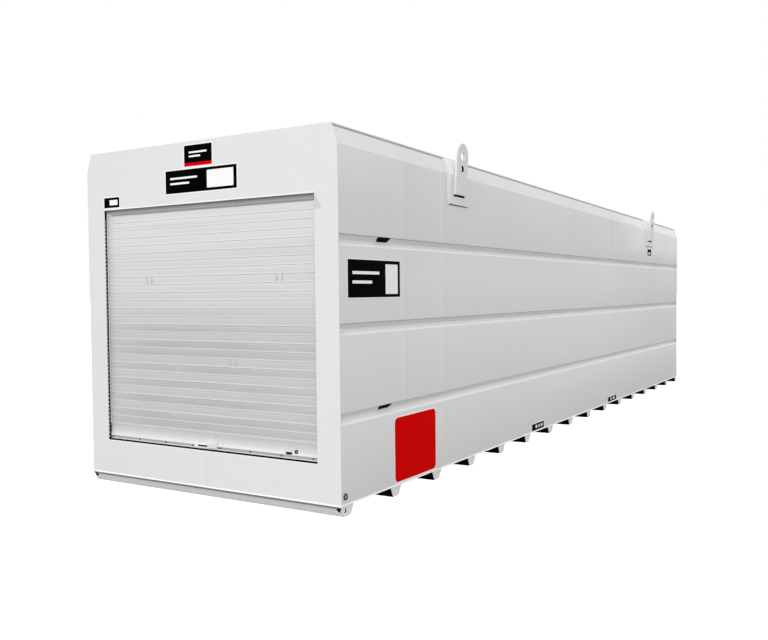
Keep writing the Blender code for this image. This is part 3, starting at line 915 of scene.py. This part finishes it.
def make_lips():
    """Rolled lips along the bottom edges all round, and above and below the opening, in the lighter paint
    that gives them a painted highlight.
    """
    low = BASE - 0.003
    corners = ((-HALF, FRONT), (HALF, FRONT), (HALF, REAR), (-HALF, REAR))
    opening = ((-OPENING_HALF, FRONT), (OPENING_HALF, FRONT))
    strips = [lip_strip(corners[0], corners[1], low, 0.013, 0.006)]
    for index in (1, 3, 2):
        strips.append(lip_strip(corners[index], corners[(index + 1) % 4], low + 0.003, 0.011, 0.006))
    strips.append(lip_strip(*opening, up(OPENING_TOP) - 0.003, 0.0125, 0.0018))
    strips.append(lip_strip(*opening, up(OPENING_BOTTOM) - 0.0074, 0.007, 0.0015))
    new_piece("bottom_lips", joined(strips), LIT_WHITE_PAINT, "white_paint")


def make_sill_trim():
    """Dark grey strip under the front's bottom edge as painted shadow, a black strip on the sill's return as
    painted shade under the bottom bar, and the sill's butt joint.
    """
    section = []
    for below, out in ((0.003, 0.0002), (0.003, 0.0016), (0.015, 0.0016), (0.024, 0.0002)):
        section.append((FRONT + below * BEARER_SLOPE - out, BASE - below))
    seal = prism(section, -HALF + 0.006, HALF - 0.006, 0)
    new_piece("front_foot_shadow_strip", seal, FOOT_SHADOW_PAINT, "dark_fitting")
    sill = up(OPENING_BOTTOM)
    # Black strip on the sill's return: painted shade under the bottom bar
    mat = block((-OPENING_HALF + 0.001, FRONT + 0.015, sill + 0.0003),
                (OPENING_HALF - 0.001, FRONT + 0.0385, sill + 0.0016), 0.0005)
    new_piece("sill_shade_strip", mat, BLACK_RUBBER_AND_SHADE, "dark_fitting")
    left, right = SILL_JOINT
    joint = block((left, FRONT - 0.0006, BASE + 0.016), (right, FRONT - 0.0001, sill - 0.009), 0.0002)
    new_piece("sill_joint", joint, JOINT_SHADE, "white_paint")


def make_corner_shade():
    """Thin darker triangle at the opening's upper right corner: painted shade where the header's corner
    shades the jamb.
    """
    outline = [(1.2855, up(2.613)), (1.2855, up(2.482)), (1.358, up(2.486)), (1.308, up(2.588))]
    bm = prism(outline, FRONT - 0.001, FRONT - 0.0002, 1)
    new_piece("corner_shade_right", bm, CORNER_SHADE_PAINT, "white_paint")


# Shutter

def make_slat(slat):
    """One roll-formed slat, tilted and shifted a little."""
    low = CURTAIN_LOW + slat * SLAT_STEP
    tilt = random.uniform(-0.012, 0.012)
    face = []
    for part, out in SLAT_SHAPE:
        lean = tilt * (part - 0.5) * SLAT_STEP
        face.append((FRONT + CURTAIN_BACK - out - lean, low + part * SLAT_STEP))
    back = [(y + SLAT_METAL, z) for y, z in reversed(face)]
    shift = random.uniform(-0.003, 0.003)
    bm = prism(face + back, -CURTAIN_HALF + 0.004 + shift, CURTAIN_HALF - 0.004 + shift, 0)
    for side in bm.faces:
        side.material_index = int(slat in DUSTY_SLATS)
    return bm


def make_curtain():
    """Closed curtain of separate roll-formed slats, none quite like the next, with riveted tabs on three."""
    bm = joined(make_slat(slat) for slat in range(SLAT_COUNT))
    behind = FRONT + CURTAIN_BACK + SLAT_METAL + 0.0001
    backing = block((-CURTAIN_HALF + 0.01, behind, CURTAIN_LOW),
                    (CURTAIN_HALF - 0.01, behind + 0.001, CURTAIN_HIGH), 0.0)
    bm = joined((bm, backing))
    new_piece("slat_curtain", bm, (SLATS, DUSTY), "shutter_metal", ["shutter_curtain"], 50.0)
    face = FRONT + CURTAIN_BACK - 0.0064
    tabs = []
    for x, height in TAB_PLACES:
        for start in (x - TAB_SPACE / 2 - TAB_WIDTH, x + TAB_SPACE / 2):
            tabs.append(block((start, face - 0.0006, up(height) - TAB_HEIGHT / 2),
                              (start + TAB_WIDTH, face, up(height) + TAB_HEIGHT / 2), 0.0004))
    new_piece("slat_tabs", joined(tabs), TAB_METAL, "shutter_metal")


def make_guides(side):
    """Dark lined guide channel, with small clips at each slat's end that show against the brush strip."""
    sill = up(OPENING_BOTTOM)
    near = FRONT + SHEET + GAP
    far = near + 0.069
    inner = OPENING_HALF + 0.004
    outer = OPENING_HALF + 0.06
    wall = 0.0025
    outline = [(inner, near), (outer, near), (outer, far), (inner, far), (inner, far - wall),
               (outer - wall, far - wall), (outer - wall, near + wall), (inner, near + wall)]
    channel = soften(prism(outline, sill - 0.045, CURTAIN_HIGH, 2), 0.0006)
    side_piece(side, "guide_channel_", channel, BLACK_RUBBER_AND_SHADE, "dark_fitting", ["shutter_guide_" + HANDS[side]])
    half_pitch = (CURTAIN_HIGH - up(BAR_TOP)) / SLAT_COUNT / 2
    clips = []
    for index in range(int((CURTAIN_HIGH - 0.1 - sill) / half_pitch)):
        z = sill + 0.015 + (index + 0.5) * half_pitch
        clips.append(block((OPENING_HALF + 0.0002, near + 0.0022, z - 0.006),
                           (OPENING_HALF + 0.0013, near + 0.0125, z + 0.006), 0.0005))
    side_piece(side, "guide_clips_", joined(clips), CLIP_METAL, "shutter_metal")


def make_guide_brushes(side):
    """Black brush strip inside a jamb, and the pale wear strip the curtain runs against, its paleness partly
    a painted highlight.
    """
    high = up(OPENING_TOP) - 0.0005
    outer = OPENING_HALF + 0.0035
    brush = block((OPENING_HALF + 0.0012, FRONT + SHEET + 0.0025, up(OPENING_BOTTOM) + 0.0005),
                  (outer, FRONT + 0.0305, high), 0.0006)
    wear = block((OPENING_HALF + 0.001, FRONT + 0.031, up(BAR_TOP)), (outer, FRONT + 0.0445, high), 0.0006)
    side_piece(side, "guide_brush_", brush, BLACK_RUBBER_AND_SHADE, "dark_fitting")
    # The wear strip's lighter paint is partly a painted highlight
    side_piece(side, "guide_wear_strip_", wear, LIT_WHITE_PAINT, "white_paint")


def make_head_seal():
    """Brush seal under the header: a metal holder with a cut corner and a comb of bristle tufts."""
    header = up(OPENING_TOP)
    near = FRONT + 0.0303
    left = -OPENING_HALF + 0.0012
    cut = -1.233
    right = 1.262
    foot = header - 0.033
    outline = [(left, header + 0.02), (left, header - 0.003), (cut, foot), (right, foot),
               (right, header - 0.002), (-left, header - 0.002), (-left, header + 0.02)]
    holder = soften(prism(outline, near, near + 0.004, 1), 0.0006)
    new_piece("head_seal_holder", holder, SEAL_GREY, "dark_fitting", ["shutter_head_seal"])
    pitch = 0.0062
    tufts = []
    for index in range(int((right - cut) / pitch)):
        x = cut + (index + 0.5) * pitch
        tip = header - (0.053 + random.uniform(-0.004, 0.0015))
        lean = random.uniform(-0.0015, 0.0015)
        outline = [(x - 0.0028, foot + 0.0005), (x + 0.0028, foot + 0.0005),
                   (x + 0.0022 + lean, tip), (x - 0.0022 + lean, tip)]
        tufts.append(prism(outline, near + 0.0006, near + 0.0034, 1))
    new_piece("head_seal_bristles", joined(tufts), BRISTLES, "dark_fitting")


def on_bar(shape):
    """Outline given as (depth behind the bar's face, height above the panels' bottom edge)."""
    return [(FRONT + BAR_FRONT + depth, up(height)) for depth, height in shape]


def make_bottom_bar():
    """Extruded bottom bar: a face that flares out to a ledge, a screw rail, a foot and black rubber."""
    half = CURTAIN_HALF
    face = FRONT + BAR_FRONT
    depth = BAR_BACK - BAR_FRONT
    rail = (0.358, 0.3785)
    foot = 0.347
    outline = on_bar((
        (depth, BAR_TOP), (0.004, BAR_TOP), (0.001, BAR_TOP - 0.004), (0.001, BAR_TOP - 0.008),
        (0.0035, BAR_TOP - 0.012), (0.0035, 0.45), (0.002, 0.425), (-0.001, 0.405), (-0.0045, 0.394),
        (-0.009, 0.386), (-0.0095, 0.3835), (-0.009, rail[1]), (0.003, rail[1]), (0.003, rail[0]),
        (-0.0045, rail[0]), (-0.005, foot + 0.0015), (-0.0035, foot), (depth, foot),
    ))
    bar = prism(outline, -half, half, 0)
    new_piece("bottom_bar", bar, BAR_METAL, "shutter_metal", ["shutter_bottom_bar"], 32.0)
    rails = []
    for low, high in ((-half, -0.15), (0.134, half)):
        rails.append(block((low, face + 0.0008, up(rail[0]) + 0.0003),
                           (high, face + 0.0029, up(rail[1]) - 0.0003), 0.0004))
    new_piece("bottom_bar_rail", joined(rails), RAIL_METAL, "shutter_metal")
    rubber = block((-half, face - 0.002, up(OPENING_BOTTOM) + 0.0004),
                   (half, face + depth - 0.002, up(foot) + 0.0006), 0.0015)
    new_piece("bottom_bar_rubber", rubber, BLACK_RUBBER_AND_SHADE, "dark_fitting")
    head = ((0, 0.0026), (0.0022, 0.0026), (0.0024, 0.0042), (0.0072, 0.0036), (0.0088, 0.0022), (0.0092, 0))
    z = up(sum(rail) / 2 - 0.002)
    screws = joined(lathe(head, facing_front((x, face + 0.0008, z)), 16) for x in SCREW_PLACES)
    new_piece("bottom_bar_screws", screws, DARK_FIXINGS, "dark_fitting")


def make_slot_shade(name, low, high, radius, near, far):
    """Black block on the bottom bar painted as the shade in a slot, between two corners and two depths in
    front of its face.
    """
    outline = rounded_rectangle((low[0], up(low[1])), (high[0], up(high[1])), radius)
    bm = prism(outline, FRONT + BAR_FRONT - far, FRONT + BAR_FRONT - near, 1)
    new_piece(name, bm, BLACK_RUBBER_AND_SHADE, "dark_fitting")


def make_lock():
    """Cylinder lock with a dark ring, the painted shade of the slot beside it and two rivets."""
    face = FRONT + BAR_FRONT
    place = facing_front((LOCK_PLACE[0], face - 0.0003, up(LOCK_PLACE[1])))
    ring = ((0.0088, 0.002), (0.0096, 0.0052), (0.016, 0.0056), (0.0178, 0.004), (0.018, -0.002),
            (0.0088, -0.002))
    new_piece("lock_ring", lathe(ring, place), BLACK_RUBBER_AND_SHADE, "dark_fitting", ["shutter_lock"])
    core = ((0, 0.0036), (0.0022, 0.0036), (0.0024, 0.004), (0.007, 0.004), (0.0084, 0.0032),
            (0.0084, -0.001))
    new_piece("lock_core", lathe(core, place), ZINC, "shutter_metal")
    make_slot_shade("lock_slot_shade", *LOCK_SLOT, 0.004, 0.006, 0.0112)
    dome = ((0, 0.003), (0.003, 0.0026), (0.0048, 0.0012), (0.0052, -0.003))
    rivets = joined(lathe(dome, facing_front((x, face, up(height))), 16) for x, height in RIVET_PLACES)
    new_piece("lock_rivets", rivets, ZINC, "shutter_metal")


def make_latch():
    """Pressed latch cover on the bottom bar, a plate beside it with the painted shade of its slot, and a
    stiff tie leaning on the bar; plate and tie in the lighter paint, a painted highlight.
    """
    face = FRONT + BAR_FRONT
    section = on_bar(((0.003, 0.446), (-0.002, 0.441), (-0.0178, 0.4), (-0.0183, 0.364), (-0.015, 0.358),
                      (0.002, 0.358)))
    cover = soften(prism(section, *LATCH_SPAN, 0), 0.003, 20.0, 3)
    new_piece("latch_cover", cover, BAR_METAL, "shutter_metal", ["shutter_latch"], flat_over=FLAT_AREA)
    (left, bottom), (right, top) = LATCH_PLATE
    plate = block((left, face - 0.0105, up(bottom)), (right, face + 0.002, up(top)), 0.002)
    # The plate's lighter paint is a painted highlight
    new_piece("latch_plate", plate, LIT_WHITE_PAINT, "shutter_metal")
    make_slot_shade("latch_slot_shade", *LATCH_SLOT, 0.005, 0.0106, 0.0118)
    tie = ((0.071, -0.0165, 0.413), (0.092, -0.006, 0.449), (0.127, -0.0005, 0.504))
    bead = weld_bead([(x, face + depth, up(height)) for x, depth, height in tie], 0.0022, 0.006)
    # The tie's lighter paint is a painted highlight
    new_piece("latch_tie", bead, LIT_WHITE_PAINT, "white_paint")


# Bearers and lugs

def make_bearer(index):
    """Pressed trough with round lower corners and closed ends in the lighter paint, a painted highlight;
    black underneath as painted shade.
    """
    centre = FRONT + BEARER_TOP / 2 + index * BEARER_PITCH
    top = BASE - GAP
    half = HALF - 0.004
    shell = 0.004
    corners = [(centre - BEARER_TOP / 2, top), (centre - BEARER_BOTTOM / 2, 0.0),
               (centre + BEARER_BOTTOM / 2, 0.0), (centre + BEARER_TOP / 2, top)]
    outline = fillet(corners, (0.0, 0.006, 0.034, 0.0), 5)
    body = prism(outline, -half + shell, half - shell, 0)
    is_front = index == 0
    is_rear = index == BEARER_COUNT - 1
    for face in body.faces:
        seen = (is_front and face.normal.y < -0.5) or (is_rear and face.normal.y > 0.5)
        face.material_index = 0 if seen else 1
    spans = ((-half, -half + shell - 0.0002), (half - shell + 0.0002, half))
    ends = joined(soften(prism(outline, low, high, 0), 0.0008, 60.0, 1) for low, high in spans)
    number = "{:02d}".format(index + 1)
    coat = FOOT_SHADED_PAINT if is_front else PAINT
    new_piece("bearer_body_" + number, body, (coat, UNDERSIDE_SHADE), "white_paint", ["bearer_" + number])
    # The ends' lighter paint is a painted highlight
    new_piece("bearer_ends_" + number, ends, LIT_WHITE_PAINT, "white_paint")


def dress(node, name, material, width, angle=25.0):
    """Copy of a CAD node with its corners merged and its edges rounded, which stands for it."""
    bm = bmesh.new()
    bm.from_mesh(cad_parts[node].data)
    bmesh.ops.remove_doubles(bm, verts=bm.verts, dist=1e-5)
    bmesh.ops.dissolve_limit(bm, angle_limit=math.radians(1), verts=bm.verts, edges=bm.edges)
    return new_piece(name, soften(bm, width, angle), material, "white_paint", [node], flat_over=FLAT_AREA)


def make_lug(side, place):
    """Lifting plate and its pad with rounded edges, with painted light on the pad where it faces up, its bush
    and its welds.
    """
    y = LUG_PLACES[place]
    tag = place + "_" + HANDS[side]
    dress("lifting_lug_" + tag, "lug_plate_" + tag, PAINT, 0.0015, 50.0)
    pad = dress("lug_pad_" + tag, "lug_doubler_" + tag, (PAINT, LIT_WHITE_PAINT), 0.0015, 40.0)
    # Painted light: the pad's faces that face up take the lighter paint
    for polygon in pad.data.polygons:
        polygon.material_index = int(polygon.normal.z > 0.15)
    make_lug_bush(side, y, place)
    make_lug_welds(side, y, place)
    make_lug_shades(side, y, place)


def make_lug_bush(side, y, place):
    """Dark bush lining a lug's lower hole, which stays open."""
    foot = Matrix.Translation((HALF + PAD_THICKNESS + 2 * GAP, y, roof_z(y) - LUG_BELOW_ROOF))
    lean = Matrix.Rotation(LUG_LEAN, 4, "Y")
    hole = facing_side((LUG_THICKNESS / 2, 0.0, LUG_BELOW_ROOF - PIN_HOLE_BELOW_ROOF), 1)
    half = LUG_THICKNESS / 2 - 0.0006
    ring = [(BUSH_INNER, -half), (BUSH_INNER, half), (BUSH_OUTER, half), (BUSH_OUTER, -half)]
    bm = lathe((*ring, ring[0]), foot @ lean @ hole)
    bmesh.ops.remove_doubles(bm, verts=bm.verts, dist=1e-6)
    side_piece(side, "lug_bush_{}_".format(place), bm, BLACK_RUBBER_AND_SHADE, "dark_fitting")


def pad_weld(side, y, edge):
    """Flat fillet of weld along one upright side of a lug's pad, over the fold and up the shoulder."""
    level = Vector((1.0, 0.0))
    slope = Vector((CHAMFER_HEIGHT, CHAMFER_WIDTH)).normalized()
    mitre = level + slope
    mitre *= 1.0 / mitre.dot(slope)
    stations = (
        (HALF, roof_z(y) - PAD_BELOW_ROOF, level),
        (HALF, fold_z(y), mitre),
        (ROOF_HALF + 0.002, roof_z(y) - ROOF_EDGE_DROP - 0.008, slope),
    )
    start = y + edge * PAD_WIDTH / 2
    section = ((0.0004, 0.0), (PAD_THICKNESS - 0.0008, 0.0), (0.0014, 0.04), (0.0004, 0.044))
    rings = []
    for x, z, normal in stations:
        rings.append([(side * (x + normal.x * out), start + edge * reach, z + normal.y * out)
                      for out, reach in section])
    return loft(rings)


def make_lug_welds(side, y, place):
    """Beads along the lug's two sides and flat welds along the pad's."""
    foot = roof_z(y) - LUG_BELOW_ROOF
    fold = fold_z(y)
    wall = HALF + PAD_THICKNESS
    welds = []
    for edge in (-1, 1):
        across = y + edge * (LUG_WIDTH / 2 + 0.001)
        line = [(side * wall, across, foot + 0.004),
                (side * (wall + (fold - foot) * math.tan(LUG_LEAN)), across, fold)]
        welds.append(weld_bead(line, 0.003))
        welds.append(pad_weld(side, y, edge))
    new_piece("lug_welds_{}_{}".format(place, HANDS[side]), joined(welds), PAINT, "white_paint")


def make_lug_shades(side, y, place):
    """Black blocks under the feet of a pad and its lug: painted shade."""
    foot = roof_z(y) - LUG_BELOW_ROOF
    bottom = roof_z(y) - PAD_BELOW_ROOF
    under_pad = block((HALF + 0.0002, y - PAD_WIDTH / 2 + 0.003, bottom - 0.0075),
                      (HALF + 0.0022, y + PAD_WIDTH / 2 - 0.003, bottom - 0.0003), 0.0006)
    under_lug = block((HALF + 0.0004, y - LUG_WIDTH / 2 + 0.0006, foot - 0.0196),
                      (HALF + PAD_THICKNESS - 0.003, y + LUG_WIDTH / 2 - 0.0006, foot - 0.0008), 0.0006)
    side_piece(side, "lug_shade_blocks_{}_".format(place), joined((under_pad, under_lug)), BLACK_RUBBER_AND_SHADE, "dark_fitting")


# Small fittings

def make_plug(side):
    """Drain plug: a dark ring and a grey hexagon-socket cap."""
    place = facing_side((side * HALF, along(PLUG_PLACE[0]), up(PLUG_PLACE[1])), side)
    ring = ((0.0145, 0.003), (0.016, 0.008), (0.0262, 0.0082), (0.0285, 0.0066), (0.029, GAP), (0.0145, GAP))
    hand = HANDS[side]
    new_piece("plug_ring_" + hand, lathe(ring, place), PLUG_METAL, "dark_fitting", ["drain_plug_" + hand])
    cap = ((0, 0.003), (0.0052, 0.003), (0.0056, 0.0056), (0.0118, 0.0056), (0.014, 0.004), (0.014, 0.0004))
    new_piece("plug_cap_" + hand, lathe(cap, place), RAIL_METAL, "shutter_metal")


def make_lashing_eye(side):
    """Black discs as the painted shade of lashing holes round a lower front corner, and the ring through them
    in the lighter paint, a painted highlight.
    """
    z = LASHING_HEIGHT
    y = FRONT + (BASE - z) * BEARER_SLOPE
    front_disc = [(0.0, 0.001), (0.0235, 0.001), (0.0245, 0.0)]
    side_disc = [(0.0, 0.001), (0.0185, 0.001), (0.0195, 0.0)]
    on_front = facing_front((side * (HALF - 0.034), y - 0.0002, z), math.atan(BEARER_SLOPE))
    on_side = facing_side((side * (HALF - 0.004), y + 0.042, z - 0.01), side)
    holes = joined((lathe(front_disc, on_front, 24), lathe(side_disc, on_side, 24)))
    new_piece("lashing_hole_shades_" + HANDS[side], holes, BLACK_RUBBER_AND_SHADE, "dark_fitting")
    centre = Vector((side * (HALF - 0.006), y + 0.012, z - 0.002))
    across = Vector((side * 0.72, 0.69, 0.0))
    turns = [2 * math.pi * step / 24 for step in range(25)]
    ring = weld_bead([centre + (across * math.cos(turn) + Vector((0, 0, math.sin(turn)))) * LASHING_RING
                      for turn in turns], LASHING_WIRE, 0.006, 10)
    new_piece("lashing_ring_" + HANDS[side], ring, LIT_WHITE_PAINT, "white_paint")


# Signs, as plain films

def film(name, face, low, high, radius, look, start, thickness=FILM):
    """Flat film with round corners on the front ("front") or the right wall ("right")."""
    outline = rounded_rectangle(low, high, radius)
    if face == "front":
        bm = prism(outline, FRONT - start - thickness, FRONT - start, 1)
    else:
        bm = prism(outline, HALF + start, HALF + start + thickness, 0)
    new_piece(name, bm, *look)


def sign(name, face, low, size, layers):
    """Black sign with a white keyline; a layer is (left, bottom, right, top, radius, look) within it."""
    border = (-KEYLINE, -KEYLINE, size[0] + KEYLINE, size[1] + KEYLINE, 0.01, WHITE)
    field = (0.0, 0.0, *size, 0.005, BLACK)
    for index, (left, bottom, right, top, radius, look) in enumerate((border, field, *layers)):
        film("{}_{}".format(name, index + 1), face, (low[0] + left, low[1] + bottom),
             (low[0] + right, low[1] + top), radius, look, FILM_GAP + min(index, 2) * FILM)


def make_signs():
    """Generic films in the signs' places."""
    sign("header_sign_small", "front", (-0.188, up(2.956)), (0.341, 0.192), (
        (0.0, 0.0, 0.341, 0.031, 0.004, RED),
        (0.06, 0.118, 0.279, 0.134, 0.003, WHITE),
        (0.06, 0.082, 0.2, 0.098, 0.003, WHITE),
    ))
    sign("header_sign_wide", "front", (-0.43, up(2.72)), (0.874, 0.212), (
        (0.52, 0.026, 0.836, 0.186, 0.006, WHITE),
        (0.06, 0.128, 0.4, 0.146, 0.003, WHITE),
        (0.06, 0.08, 0.3, 0.098, 0.003, WHITE),
    ))
    sign("corner_sign", "front", (-1.281, up(2.64)), (0.215, 0.099), (
        (0.078, 0.024, 0.19, 0.075, 0.004, WHITE),
    ))
    sign("side_sign", "right", (along(0.132), up(1.737)), (0.86, 0.325), (
        (0.606, 0.028, 0.818, 0.294, 0.005, WHITE),
        (0.07, 0.2, 0.5, 0.226, 0.004, WHITE),
        (0.07, 0.12, 0.38, 0.146, 0.004, WHITE),
    ))
    for index, (inset, radius, look) in enumerate(((0.0, 0.06, WHITE), (0.012, 0.05, RED))):
        low = (along(0.862) + inset, up(0.018) + inset)
        high = (along(1.677) - inset, up(0.638) - inset)
        start = GAP + PATCH_FILM * index
        film("side_patch_{}".format(index + 1), "right", low, high, radius, look, start, PATCH_FILM)
    sign("foot_sign_near", "right", (along(4.232), up(0.018)), (0.405, 0.084), (
        (0.12, 0.024, 0.17, 0.062, 0.004, WHITE),
        (0.22, 0.024, 0.255, 0.062, 0.004, WHITE),
        (0.3, 0.024, 0.35, 0.062, 0.004, WHITE),
    ))
    sign("foot_sign_far", "right", (along(7.436), up(0.018)), (0.436, 0.072), (
        (0.13, 0.02, 0.19, 0.052, 0.004, WHITE),
        (0.26, 0.02, 0.35, 0.052, 0.004, WHITE),
    ))
    sign("lug_sign", "right", (along(9.86), up(2.4)), (0.25, 0.115), (
        (0.06, 0.02, 0.18, 0.06, 0.004, WHITE),
    ))


# Studio

def make_floor():
    """Pale floor out to the horizon; the camera sees it as pure white, and it throws back less light."""
    bm = bmesh.new()
    bmesh.ops.create_grid(bm, x_segments=1, y_segments=1, size=400.0)
    look = Finish("studio_floor", FLOOR_BOUNCE, 0.9)
    seen = look.add("ShaderNodeLightPath").outputs["Is Camera Ray"]
    look.tint(seen, (FLOOR_SEEN, FLOOR_SEEN, FLOOR_SEEN))
    look.set(look.shader, {"Specular IOR Level": 0.0, "Emission Color": (1.0, 1.0, 1.0, 1.0),
                           "Emission Strength": seen})
    add_object("studio_floor", bm, (look.material,))


def make_light():
    """Even white surroundings and one broad sun, high in front."""
    scene = bpy.context.scene
    scene.view_settings.view_transform = "Standard"
    world = bpy.data.worlds.new("studio")
    world.use_nodes = True
    background = world.node_tree.nodes["Background"]
    background.inputs["Color"].default_value = (1.0, 1.0, 1.0, 1.0)
    background.inputs["Strength"].default_value = 1.0
    scene.world = world
    data = bpy.data.lights.new("broad_sun", "SUN")
    data.energy = SUN_STRENGTH
    data.angle = SUN_ANGLE
    sun = bpy.data.objects.new("broad_sun", data)
    sun.rotation_euler = SUN_FROM.to_track_quat("Z", "Y").to_euler()
    scene.collection.objects.link(sun)


def make_camera():
    """Camera where the photograph was taken from."""
    yaw = Matrix.Rotation(CAMERA_YAW, 4, "Z")
    pitch = Matrix.Rotation(math.radians(90) - CAMERA_PITCH, 4, "X")
    roll = Matrix.Rotation(CAMERA_ROLL, 4, "Z")
    data = bpy.data.cameras.new("photo_camera")
    data.sensor_width = 36.0
    data.lens = CAMERA_LENS
    data.clip_end = 1000.0
    camera = bpy.data.objects.new("photo_camera", data)
    camera.matrix_world = Matrix.Translation(CAMERA_PLACE) @ yaw @ pitch @ roll
    bpy.context.scene.collection.objects.link(camera)
    bpy.context.scene.camera = camera


make_camera()
make_light()
make_floor()
for tank_side in HANDS:
    make_side_skin(tank_side)
    make_vent_inserts(tank_side)
    make_roof_edge(tank_side)
    make_plug(tank_side)
make_roof_skin()
make_rear_skin()
for corner in ("rear_corner_left", "rear_corner_right"):
    dress(corner, corner + "_plate", PAINT, 0.0012)
# The floor plate in the black painted shade of the underside
dress("floor_plate", "floor_sheet", UNDERSIDE_SHADE, 0.001)
make_front_plate()
make_front_returns()
make_lips()
make_sill_trim()
make_curtain()
for tank_side in HANDS:
    make_guides(tank_side)
for tank_side in HANDS:
    make_guide_brushes(tank_side)
make_head_seal()
make_corner_shade()
make_bottom_bar()
make_lock()
make_latch()
for bearer in range(BEARER_COUNT):
    make_bearer(bearer)
for lug_place in LUG_PLACES:
    for tank_side in HANDS:
        make_lug(tank_side, lug_place)
for tank_side in HANDS:
    make_lashing_eye(tank_side)
make_signs()
